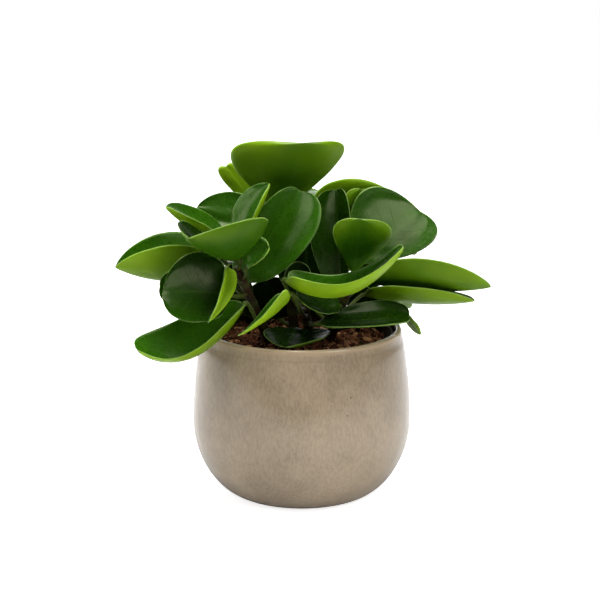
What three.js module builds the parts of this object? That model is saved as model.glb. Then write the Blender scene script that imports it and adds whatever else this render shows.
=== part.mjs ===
// Potted peperomia: a small-leaved house plant in a plastic grow pot that stands in a glazed stoneware pot.
// Sizes in millimetres, +Z up. The origin is the centre of the pot's foot on the table.
import * as THREE from 'three';

// Glazed pot: half profile through foot, belly and rim.
const POT_HEIGHT = 116;
const FOOT_RADIUS = 43;
const BELLY_RADIUS = 75;
const BELLY_HEIGHT = 50;
const RIM_RADIUS = 68;
const WALL = 4;
const FLOOR = 8;
const POT_SEGMENTS = 48;

// Grow pot and what fills it.
const GAP = 0.3;
const GROW_TOP = 112;
const GROW_TOP_RADIUS = 62.5;
const GROW_FOOT_RADIUS = 47;
const GROW_WALL = 1.2;
const SOIL_TOP = 108;
const SOIL_DOME = 2;
const GROW_SEGMENTS = 36;

// Stems and petioles.
const STEM_FOOT_RADIUS = 3.6;
const STEM_TOP_RADIUS = 2.6;
const STEM_SIDES = 8;
const PETIOLE_RADIUS = 1.5;
const PETIOLE_DROP = 9;

// Leaf blades: where the rings lie along the midrib and across each ring, and how thick the blade is.
const RING_STEPS = [0.06, 0.18, 0.36, 0.58, 0.78, 0.91, 0.975];
const ACROSS_TOP = [-1, -0.6, -0.25, 0, 0.25, 0.6, 1];
const ACROSS_UNDER = [0.6, 0.25, 0, -0.25, -0.6];
const BLADE_THICKNESS = 1.6;
const DEFAULT_ROUND = [0.8, 0.42];
const DEFAULT_CUP = 0.08;

// Each stem: points up its middle, from the soil to its tip.
const STEMS = {
  tall: [[-5, 12, 108.5], [-9, 12, 150], [-13, 14, 188]],
  left: [[-22, -12, 108.5], [-33, -26, 138], [-43, -36, 165]],
  right: [[18, -15, 108.5], [26, -20, 132], [32, -24, 152]],
  back_right: [[22, 16, 108.5], [26, 24, 145], [23, 28, 178]],
  back_left: [[-26, 18, 108.5], [-38, 22, 140], [-50, 18, 172]],
  front: [[6, -8, 108.5], [4, -10, 120], [2, -10, 132]],
};

// Each leaf: the stem it grows from, its base, its tip, and the widest point of each edge as seen from the
// upper side.
// round is how full the blade is towards its base and its tip, bow lifts the midrib, cup sags each half,
// fade is how much of the fold between the halves is lost from base to tip.
const LEAVES = {
  top_1: { stem: 'tall', base: [-15, 8, 193], tip: [2, -22, 245], left: [28, 2, 235],
    right: [-47, -8, 237], round: [1.0, 0.25] },
  top_2: { stem: 'tall', base: [-27, 22, 194], tip: [-51, 12, 224], left: [-35, 26, 216],
    right: [-51, 10, 212], round: [0.35, 0.6] },
  top_3: { stem: 'tall', base: [-2, 27, 187], tip: [14, 67, 198], left: [-12, 58, 202],
    right: [25, 42, 201], bow: [-1, -2, 5] },
  top_4: { stem: 'tall', base: [-18, 29, 186], tip: [-40, 70, 197], left: [-46, 46, 196],
    right: [-17, 65, 204], bow: [1, -1, 5] },
  right_1: { stem: 'right', base: [26, -14, 148], tip: [23, -10, 212], left: [5, -28, 187],
    right: [32, -30, 192], round: [0.5, 0.35], bow: [0, -7, 0] },
  right_2: { stem: 'back_right', base: [27, 0, 170], tip: [40, 4, 210], left: [49, 8, 193],
    right: [24, 0, 197], round: [0.6, 0.5] },
  right_3: { stem: 'right', base: [34, -31, 161], tip: [37, -62, 202], left: [58, -50, 190],
    right: [20, -54, 193], round: [1.1, 0.4], joinHeight: 146 },
  right_4: { stem: 'right', base: [38, -15, 164], tip: [80, 3, 195], left: [40, -7, 210],
    right: [86, -8, 174], bow: [0, -4, 0] },
  right_5: { stem: 'front', base: [-10, -46, 158], tip: [65, -52, 181], left: [22, -42, 161],
    right: [24, -77, 162], round: [0.3, 0.45], bow: [0, -2, -26], cup: 0.1, joinHeight: 130 },
  right_6: { stem: 'right', base: [45, -8, 150], tip: [126, -26, 149], left: [86, 10, 158],
    right: [79, -34, 170], round: [0.6, 0.7], bow: [0, 0, -6] },
  right_7: { stem: 'right', base: [44, -4, 139], tip: [116, -20, 138], left: [81, 4, 143],
    right: [69, -30, 150], round: [0.6, 0.7], bow: [0, 0, -5] },
  right_8: { stem: 'right', base: [69, 4, 127], tip: [82, 0, 110], left: [75, 12, 113],
    right: [76, -6, 121], round: [0.6, 0.5] },
  right_9: { stem: 'front', base: [12, -43, 128], tip: [71, -36, 131], left: [50, -20, 138],
    right: [50, -54, 129], round: [0.62, 0.46], joinHeight: 121 },
  right_10: { stem: 'right', base: [25, -29, 137], tip: [-4, -35, 147], left: [13, -50, 137],
    right: [12, -22, 148], round: [0.62, 0.46], joinHeight: 132 },
  right_11: { stem: 'back_right', base: [8, 30, 184], tip: [58, 24, 207], left: [49, 32, 180],
    right: [19, 18, 212] },
  left_1: { stem: 'left', base: [-41, -20, 152], tip: [-1, -21, 213], left: [-33, -27, 194],
    right: [5, -44, 182], round: [0.42, 0.42], bow: [0, -9, 0] },
  left_2: { stem: 'left', base: [-41, -37, 177], tip: [-21, -29, 219], left: [-44, -21, 204],
    right: [-30, -46, 203], round: [0.6, 0.7], bow: [0, -1, 0] },
  left_3: { stem: 'left', base: [-43, -48, 173], tip: [-72, -76, 192], left: [-24, -70, 204],
    right: [-77, -40, 196], round: [0.35, 0.95], bow: [0, 0, -5] },
  left_4: { stem: 'tall', base: [-28, 2, 190], tip: [-71, 6, 197], left: [-57, -2, 184],
    right: [-44, 9, 207], round: [0.6, 0.6] },
  left_5: { stem: 'back_left', base: [-51, -16, 177], tip: [-89, -34, 204], left: [-67, -34, 194],
    right: [-66, -4, 196], round: [0.37, 0.6], bow: [0, 0, -4] },
  left_6: { stem: 'back_left', base: [-58, -8, 155], tip: [-123, -34, 164], left: [-81, -40, 180],
    right: [-87, 8, 180], round: [0.5, 0.75], bow: [0, 0, -9] },
  left_7: { stem: 'left', base: [-49, -49, 149], tip: [-90, -62, 153], left: [-68, -80, 138],
    right: [-66, -45, 177], round: [0.4, 0.4], bow: [0, 0, 2], joinHeight: 147 },
  left_8: { stem: 'left', base: [-50, -30, 156], tip: [-93, -46, 154], left: [-78, -46, 142],
    right: [-76, -38, 166], round: [0.62, 0.46], joinHeight: 143 },
  left_9: { stem: 'left', base: [-49, -46, 166], tip: [-60, -80, 138], left: [-52, -78, 155],
    right: [-43, -57, 155], round: [0.6, 0.6], bow: [4, 0, 2], joinHeight: 155 },
  left_10: { stem: 'left', base: [-38, -46, 142], tip: [-106, -70, 117], left: [-74, -76, 116],
    right: [-91, -48, 128], round: [0.78, 0.42], bow: [3, 0, -25], fade: 1.6, joinHeight: 125 },
  left_11: { stem: 'left', base: [-36, -43, 168], tip: [-21, -56, 182], left: [-31, -46, 186],
    right: [-29, -60, 173], round: [0.6, 0.4], joinHeight: 157 },
  inner_1: { stem: 'tall', base: [4, 4, 136], tip: [2, 8, 187], left: [-18, 2, 160], right: [25, 6, 156],
    round: [0.55, 0.5], bow: [0, 4, 0] },
  inner_2: { stem: 'back_right', base: [38, 10, 142], tip: [58, 11, 163], left: [40, 14, 163],
    right: [59, 8, 146], round: [0.6, 0.5] },
  inner_3: { stem: 'left', base: [-34, -14, 136], tip: [-57, -16, 151], left: [-56, -21, 140],
    right: [-42, -10, 160], round: [0.6, 0.5] },
  inner_4: { stem: 'tall', base: [-16, 17, 118], tip: [-22, 10, 148], left: [-42, 3, 128],
    right: [2, 24, 132], round: [0.6, 0.45] },
  inner_5: { stem: 'back_right', base: [38, 8, 120], tip: [41, 4, 144], left: [29, 8, 137],
    right: [52, 2, 132], joinHeight: 119 },
  front_1: { stem: 'front', base: [-4, -19, 118], tip: [-11, -54, 115], left: [19, -37, 120],
    right: [-25, -38, 122], round: [0.62, 0.46], joinHeight: 114 },
  front_2: { stem: 'front', base: [-9, -59, 150], tip: [-41, -70, 127], left: [-19, -73, 148],
    right: [-26, -62, 141], round: [0.6, 0.5], bow: [8, 0, 1], fade: 2.2, joinHeight: 126 },
  front_3: { stem: 'front', base: [-4, -13, 138], tip: [-3, -20, 165], left: [-12, -24, 154],
    right: [7, -24, 154], round: [0.6, 0.5], joinHeight: 132 },
  back_1: { stem: 'back_right', base: [36, 36, 168], tip: [78, 62, 174], left: [50, 68, 183],
    right: [74, 36, 183], bow: [-1, -1, 5] },
  back_2: { stem: 'back_right', base: [22, 40, 168], tip: [26, 94, 178], left: [4, 75, 186],
    right: [45, 72, 186], bow: [0, -1, 6] },
  back_3: { stem: 'back_right', base: [14, 36, 162], tip: [-14, 88, 168], left: [-21, 60, 177],
    right: [14, 79, 177], bow: [0, -1, 6] },
  back_4: { stem: 'back_right', base: [32, 24, 158], tip: [79, 42, 157], left: [60, 56, 168],
    right: [69, 16, 168], bow: [0, 0, 6] },
  back_5: { stem: 'back_right', base: [26, 34, 146], tip: [58, 86, 140], left: [28, 81, 154],
    right: [67, 57, 154], bow: [0, 0, 6] },
  back_6: { stem: 'back_left', base: [-56, 20, 172], tip: [-77, 54, 180], left: [-82, 28, 184],
    right: [-60, 54, 187], bow: [1, -1, 5] },
  back_7: { stem: 'back_left', base: [-46, 30, 166], tip: [-48, 84, 176], left: [-67, 63, 183],
    right: [-27, 64, 183], bow: [0, -1, 6] },
  back_8: { stem: 'back_left', base: [-54, 18, 158], tip: [-98, 44, 160], left: [-94, 16, 170],
    right: [-71, 54, 170], bow: [0, 0, 5] },
  back_9: { stem: 'back_left', base: [-47, 30, 150], tip: [-64, 84, 144], left: [-79, 58, 158],
    right: [-36, 73, 158], bow: [0, 1, 7] },
  back_10: { stem: 'back_right', base: [10, 26, 122], tip: [32, 84, 120], left: [-2, 70, 125],
    right: [50, 56, 125], bow: [0, 1, 7] },
  back_11: { stem: 'back_left', base: [-18, 28, 122], tip: [-36, 86, 121], left: [-52, 58, 126],
    right: [-6, 74, 127], bow: [0, 1, 6] },
  back_12: { stem: 'back_right', base: [34, 20, 122], tip: [76, 44, 118], left: [54, 54, 129],
    right: [68, 24, 129], bow: [0, 0, 6] },
  back_13: { stem: 'back_left', base: [-46, 6, 138], tip: [-98, 16, 146], left: [-82, -7, 154],
    right: [-75, 32, 154], bow: [1, 0, 6] },
};

function vector(point) {
  return new THREE.Vector3(point[0], point[1], point[2]);
}

function material(name, color, roughness) {
  const made = new THREE.MeshStandardMaterial({ color, roughness, metalness: 0 });
  made.name = name;
  return made;
}

// One closed mesh from a list of rings that all have the same number of points, capped by a fan at each end.
function closedLoft(rings, startPoint, endPoint) {
  const sides = rings[0].length;
  const points = rings.flat();
  const startIndex = points.length;
  points.push(startPoint);
  points.push(endPoint);
  const faces = [];
  for (let ring = 0; ring + 1 < rings.length; ring += 1) {
    for (let side = 0; side < sides; side += 1) {
      const next = (side + 1) % sides;
      const a = ring * sides + side;
      const b = ring * sides + next;
      const c = (ring + 1) * sides + next;
      const d = (ring + 1) * sides + side;
      faces.push(a, b, c, a, c, d);
    }
  }
  const last = (rings.length - 1) * sides;
  for (let side = 0; side < sides; side += 1) {
    const next = (side + 1) % sides;
    faces.push(startIndex, next, side);
    faces.push(startIndex + 1, last + side, last + next);
  }
  return solidGeometry(points, faces);
}

// Geometry whose faces look outwards, whichever way the rings ran.
function solidGeometry(points, faces) {
  let volume = 0;
  for (let i = 0; i < faces.length; i += 3) {
    const a = points[faces[i]];
    const b = points[faces[i + 1]];
    const c = points[faces[i + 2]];
    volume += a.dot(b.clone().cross(c));
  }
  const ordered = faces.slice();
  if (volume < 0) {
    for (let i = 0; i < ordered.length; i += 3) {
      const kept = ordered[i + 1];
      ordered[i + 1] = ordered[i + 2];
      ordered[i + 2] = kept;
    }
  }
  const geometry = new THREE.BufferGeometry();
  const coordinates = points.flatMap((point) => [point.x, point.y, point.z]);
  geometry.setAttribute('position', new THREE.Float32BufferAttribute(coordinates, 3));
  geometry.setIndex(ordered);
  geometry.computeVertexNormals();
  return geometry;
}

// A body turned about the upright axis from an outline of [radius, height] points. The first and the last
// point lie on the axis.
function turnedBody(outline, sides) {
  const profile = outline.map(([radius, height]) => new THREE.Vector2(radius, height));
  return new THREE.LatheGeometry(profile, sides).rotateX(Math.PI / 2);
}

// Outside radius of the glazed pot at a height.
function potRadius(height) {
  if (height < BELLY_HEIGHT) {
    const share = 1 - height / BELLY_HEIGHT;
    return FOOT_RADIUS + (BELLY_RADIUS - FOOT_RADIUS) * (1 - share ** 1.85) ** (1 / 1.7);
  }
  const share = (height - BELLY_HEIGHT) / (POT_HEIGHT - BELLY_HEIGHT);
  return BELLY_RADIUS - (BELLY_RADIUS - RIM_RADIUS) * share ** 1.9;
}

function potGeometry() {
  const outside = [1, 3, 7, 13, 21, 32, 44, 56, 70, 84, 98, 108, POT_HEIGHT - 1.5];
  const inside = [POT_HEIGHT - 1.5, 104, 90, 74, 58, 44, 32, 22, 15, 11];
  const outline = [[0, 0], [FOOT_RADIUS - 1, 0]];
  for (const height of outside) {
    outline.push([potRadius(height), height]);
  }
  outline.push([RIM_RADIUS - 1, POT_HEIGHT]);
  outline.push([RIM_RADIUS - WALL + 1, POT_HEIGHT]);
  for (const height of inside) {
    outline.push([potRadius(height) - WALL, height]);
  }
  outline.push([potRadius(FLOOR) - WALL - 6, FLOOR]);
  outline.push([0, FLOOR]);
  return turnedBody(outline, POT_SEGMENTS);
}

// Outside radius of the grow pot at a height.
function growRadius(height) {
  const bottom = FLOOR + GAP;
  const share = (height - bottom) / (GROW_TOP - bottom);
  return GROW_FOOT_RADIUS + (GROW_TOP_RADIUS - GROW_FOOT_RADIUS) * share;
}

function growPotGeometry() {
  const bottom = FLOOR + GAP;
  const insideFloor = bottom + GROW_WALL;
  const outline = [
    [0, bottom],
    [GROW_FOOT_RADIUS, bottom],
    [growRadius(GROW_TOP), GROW_TOP],
    [growRadius(GROW_TOP) - GROW_WALL, GROW_TOP],
    [growRadius(insideFloor) - GROW_WALL, insideFloor],
    [0, insideFloor],
  ];
  return turnedBody(outline, GROW_SEGMENTS);
}

function pottingMixGeometry() {
  const bottom = FLOOR + GAP + GROW_WALL + GAP;
  const inset = GROW_WALL + GAP;
  const outline = [
    [0, bottom],
    [growRadius(bottom) - inset, bottom],
    [growRadius(SOIL_TOP - SOIL_DOME) - inset, SOIL_TOP - SOIL_DOME],
    [44, SOIL_TOP - 0.6],
    [22, SOIL_TOP],
    [0, SOIL_TOP],
  ];
  return turnedBody(outline, GROW_SEGMENTS);
}

// A ring of points round a centre, in the plane of two directions.
function roundRing(centre, right, up, radius, angles) {
  return angles.map((degrees) => {
    const angle = THREE.MathUtils.degToRad(degrees);
    return centre.clone()
      .addScaledVector(right, radius * Math.cos(angle))
      .addScaledVector(up, radius * Math.sin(angle));
  });
}

function stemCurve(name) {
  return new THREE.CatmullRomCurve3(STEMS[name].map(vector));
}

function stemRadius(share) {
  return STEM_FOOT_RADIUS + (STEM_TOP_RADIUS - STEM_FOOT_RADIUS) * share;
}

function stemGeometry(name) {
  const curve = stemCurve(name);
  const angles = [];
  for (let side = 0; side < STEM_SIDES; side += 1) {
    angles.push((side * 360) / STEM_SIDES);
  }
  const rings = [];
  const steps = 8;
  for (let step = 0; step <= steps; step += 1) {
    const share = step / steps;
    const along = step === 0 ? new THREE.Vector3(0, 0, 1) : curve.getTangentAt(share);
    const right = new THREE.Vector3(1, 0, 0).addScaledVector(along, -along.x).normalize();
    const up = along.clone().cross(right);
    rings.push(roundRing(curve.getPointAt(share), right, up, stemRadius(share), angles));
  }
  const tip = curve.getPointAt(1).addScaledVector(curve.getTangentAt(1), STEM_TOP_RADIUS);
  return closedLoft(rings, curve.getPointAt(0), tip);
}

// The point of a stem at a height, and the stem's radius there.
function stemAt(name, height) {
  const curve = stemCurve(name);
  let best = { gap: Infinity };
  for (let step = 0; step <= 60; step += 1) {
    const share = step / 60;
    const point = curve.getPointAt(share);
    const gap = Math.abs(point.z - height);
    if (gap < best.gap) {
      best = { gap, point, along: curve.getTangentAt(share), radius: stemRadius(share) };
    }
  }
  return best;
}

// The midrib: a cubic curve from base to tip, lifted by the bow.
function midrib(leaf) {
  const base = vector(leaf.base);
  const tip = vector(leaf.tip);
  const bow = vector(leaf.bow || [0, 0, 0]);
  const first = base.clone().lerp(tip, 1 / 3).add(bow);
  const second = base.clone().lerp(tip, 2 / 3).add(bow);
  return new THREE.CubicBezierCurve3(base, first, second, tip);
}

// How wide the blade is along the midrib, 1 at its widest place.
function widthShare(along, round) {
  const widest = round[0] / (round[0] + round[1]);
  return (along / widest) ** round[0] * ((1 - along) / (1 - widest)) ** round[1];
}

// Blade rings: upper points from the left edge to the right edge, then the under points back.
function bladeRings(leaf) {
  const round = leaf.round || DEFAULT_ROUND;
  const cup = leaf.cup || DEFAULT_CUP;
  const fade = leaf.fade || 0;
  const widest = round[0] / (round[0] + round[1]);
  const curve = midrib(leaf);
  const middle = curve.getPoint(widest);
  const leftReach = vector(leaf.left).sub(middle);
  const rightReach = vector(leaf.right).sub(middle);
  const across = rightReach.clone().sub(leftReach);
  const fold = rightReach.clone().add(leftReach).multiplyScalar(0.5);
  return RING_STEPS.map((along) => {
    const lost = fade * (along - widest);
    const toLeft = leftReach.clone().addScaledVector(fold, -lost);
    const toRight = rightReach.clone().addScaledVector(fold, -lost);
    const centre = curve.getPoint(along);
    const forward = curve.getTangent(along);
    const normal = across.clone().cross(forward).normalize();
    const share = widthShare(along, round);
    const halfNormal = (side) => {
      if (side === 0) {
        return normal;
      }
      const edge = side < 0 ? toLeft : toRight;
      const found = edge.clone().cross(forward).multiplyScalar(Math.sign(side)).normalize();
      return found.lerp(normal, 0.3).normalize();
    };
    const place = (side, rise) => {
      const edge = side < 0 ? toLeft : toRight;
      const part = Math.abs(side);
      const sag = 4 * cup * part * (1 - part) * edge.length();
      return centre.clone()
        .addScaledVector(edge, share * part)
        .addScaledVector(normal, -share * sag)
        .addScaledVector(halfNormal(side), rise);
    };
    const upper = ACROSS_TOP.map((side) => place(side, Math.abs(side) < 1 ? BLADE_THICKNESS / 2 : 0));
    const under = ACROSS_UNDER.map((side) => place(side, -BLADE_THICKNESS / 2));
    return upper.concat(under);
  });
}

// Petiole rings from the stem's side to the blade's base, ordered like the blade rings.
function petioleRings(leaf) {
  const curve = midrib(leaf);
  const base = curve.getPoint(0);
  const forward = curve.getTangent(0);
  const top = vector(STEMS[leaf.stem][2]).z;
  const height = leaf.joinHeight || Math.max(SOIL_TOP + 5, Math.min(base.z - PETIOLE_DROP, top));
  const joint = stemAt(leaf.stem, height);
  const outward = base.clone().sub(joint.point);
  outward.addScaledVector(joint.along, -outward.dot(joint.along)).normalize();
  const foot = joint.point.clone().addScaledVector(outward, joint.radius + GAP);
  const reach = foot.distanceTo(base);
  const path = new THREE.CubicBezierCurve3(
    foot,
    foot.clone().addScaledVector(outward, reach * 0.35),
    base.clone().addScaledVector(forward, -reach * 0.2),
    base,
  );
  const sideways = vector(leaf.right).sub(vector(leaf.left)).normalize();
  const angles = [180, 150, 120, 90, 60, 30, 0, -30, -60, -90, -120, -150];
  return [0, 0.4, 0.85].map((share) => {
    const along = path.getTangent(share);
    const right = sideways.clone().addScaledVector(along, -sideways.dot(along)).normalize();
    const up = right.clone().cross(along);
    return roundRing(path.getPoint(share), right, up, PETIOLE_RADIUS, angles);
  });
}

function centreOf(points) {
  const sum = new THREE.Vector3();
  points.forEach((point) => sum.add(point));
  return sum.divideScalar(points.length);
}

function leafGeometry(leaf) {
  const stalk = petioleRings(leaf);
  const blade = bladeRings(leaf);
  return closedLoft(stalk.concat(blade), centreOf(stalk[0]), midrib(leaf).getPoint(1));
}

function addMesh(group, name, geometry, made) {
  const mesh = new THREE.Mesh(geometry, made);
  mesh.name = name;
  group.add(mesh);
}

function pottedPlant() {
  const group = new THREE.Group();
  group.name = 'potted_peperomia';
  addMesh(group, 'pot', potGeometry(), material('glazed_stoneware', 0xa39684, 0.25));
  addMesh(group, 'grow_pot', growPotGeometry(), material('black_plastic', 0x1c1a18, 0.6));
  addMesh(group, 'potting_mix', pottingMixGeometry(), material('potting_mix', 0x4a2f1e, 0.95));
  for (const name of Object.keys(STEMS)) {
    addMesh(group, `stem_${name}`, stemGeometry(name), material(`stem_${name}`, 0x6d6a34, 0.6));
  }
  for (const [name, leaf] of Object.entries(LEAVES)) {
    addMesh(group, `leaf_${name}`, leafGeometry(leaf), material(`leaf_${name}`, 0x3f7a2a, 0.35));
  }
  return group;
}

export default pottedPlant();
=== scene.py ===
"""Potted peperomia: the plant, its bark mix and both its pots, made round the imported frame."""
import math
from typing import NamedTuple

import bpy
from bpy.props import FloatProperty, FloatVectorProperty, IntProperty, PointerProperty
from mathutils import Color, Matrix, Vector, noise


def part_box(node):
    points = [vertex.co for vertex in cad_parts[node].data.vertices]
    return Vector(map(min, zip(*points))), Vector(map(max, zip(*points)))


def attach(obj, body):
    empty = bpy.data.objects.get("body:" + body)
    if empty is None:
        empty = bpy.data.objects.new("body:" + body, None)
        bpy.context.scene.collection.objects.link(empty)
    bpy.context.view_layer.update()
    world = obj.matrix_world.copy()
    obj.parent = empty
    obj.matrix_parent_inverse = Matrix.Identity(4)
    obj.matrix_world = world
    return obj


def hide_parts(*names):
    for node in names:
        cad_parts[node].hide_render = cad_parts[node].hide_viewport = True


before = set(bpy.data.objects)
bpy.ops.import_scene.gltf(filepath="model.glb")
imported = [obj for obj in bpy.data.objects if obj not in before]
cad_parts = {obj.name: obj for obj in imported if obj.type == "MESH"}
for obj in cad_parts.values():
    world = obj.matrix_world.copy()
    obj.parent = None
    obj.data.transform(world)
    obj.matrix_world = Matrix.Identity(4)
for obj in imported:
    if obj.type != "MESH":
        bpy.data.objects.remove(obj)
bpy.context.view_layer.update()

bl_info = {
    "name": "Potted Peperomia",
    "version": (1, 0, 0),
    "blender": (4, 5, 0),
    "location": "3D View > Sidebar > Peperomia",
    "description": "A potted peperomia: leaves, stems, bark mix, grow pot, glazed pot and its stage",
    "category": "Object",
}

POT_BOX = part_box("pot")
GROW_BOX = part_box("grow_pot")
SOIL_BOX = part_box("potting_mix")
MM = 0.001

# Each stem: foot, middle and top of its centre line, in millimetres.
STEMS = {
    "tall": ((-5, 12, 108.5), (-9, 12, 150), (-13, 14, 188)),
    "left": ((-22, -12, 108.5), (-33, -26, 138), (-43, -36, 165)),
    "right": ((18, -15, 108.5), (26, -20, 132), (32, -24, 152)),
    "back_right": ((22, 16, 108.5), (26, 24, 145), (23, 28, 178)),
    "back_left": ((-26, 18, 108.5), (-38, 22, 140), (-50, 18, 172)),
    "front": ((6, -8, 108.5), (4, -10, 120), (2, -10, 132)),
}


class Leaf(NamedTuple):
    """A leaf's stem and its points in millimetres, and where it differs from an even leaf."""

    stem: str
    base: tuple
    tip: tuple
    left: tuple
    right: tuple
    # How sharply the outline closes towards the base and towards the tip: small numbers are blunt.
    round: tuple = (0.8, 0.42)
    # How far the midrib bows, how deep each half blade is dished, and how fast the fold opens
    # towards the tip.
    bow: tuple = (0, 0, 0)
    cup: float = 0.08
    fade: float = 0.0
    # Height at which the stalk leaves the stem, where it isn't just below the blade.
    join: float | None = None
    # How lime the underside is, 0 to 1, partly its own colour and partly painted light; near 0 the upper
    # side takes painted shade.
    tone: float = 0.35


# A tone near 0 paints shade on a leaf's upper side: the leaves inside the plant and low at the back have it.
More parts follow.
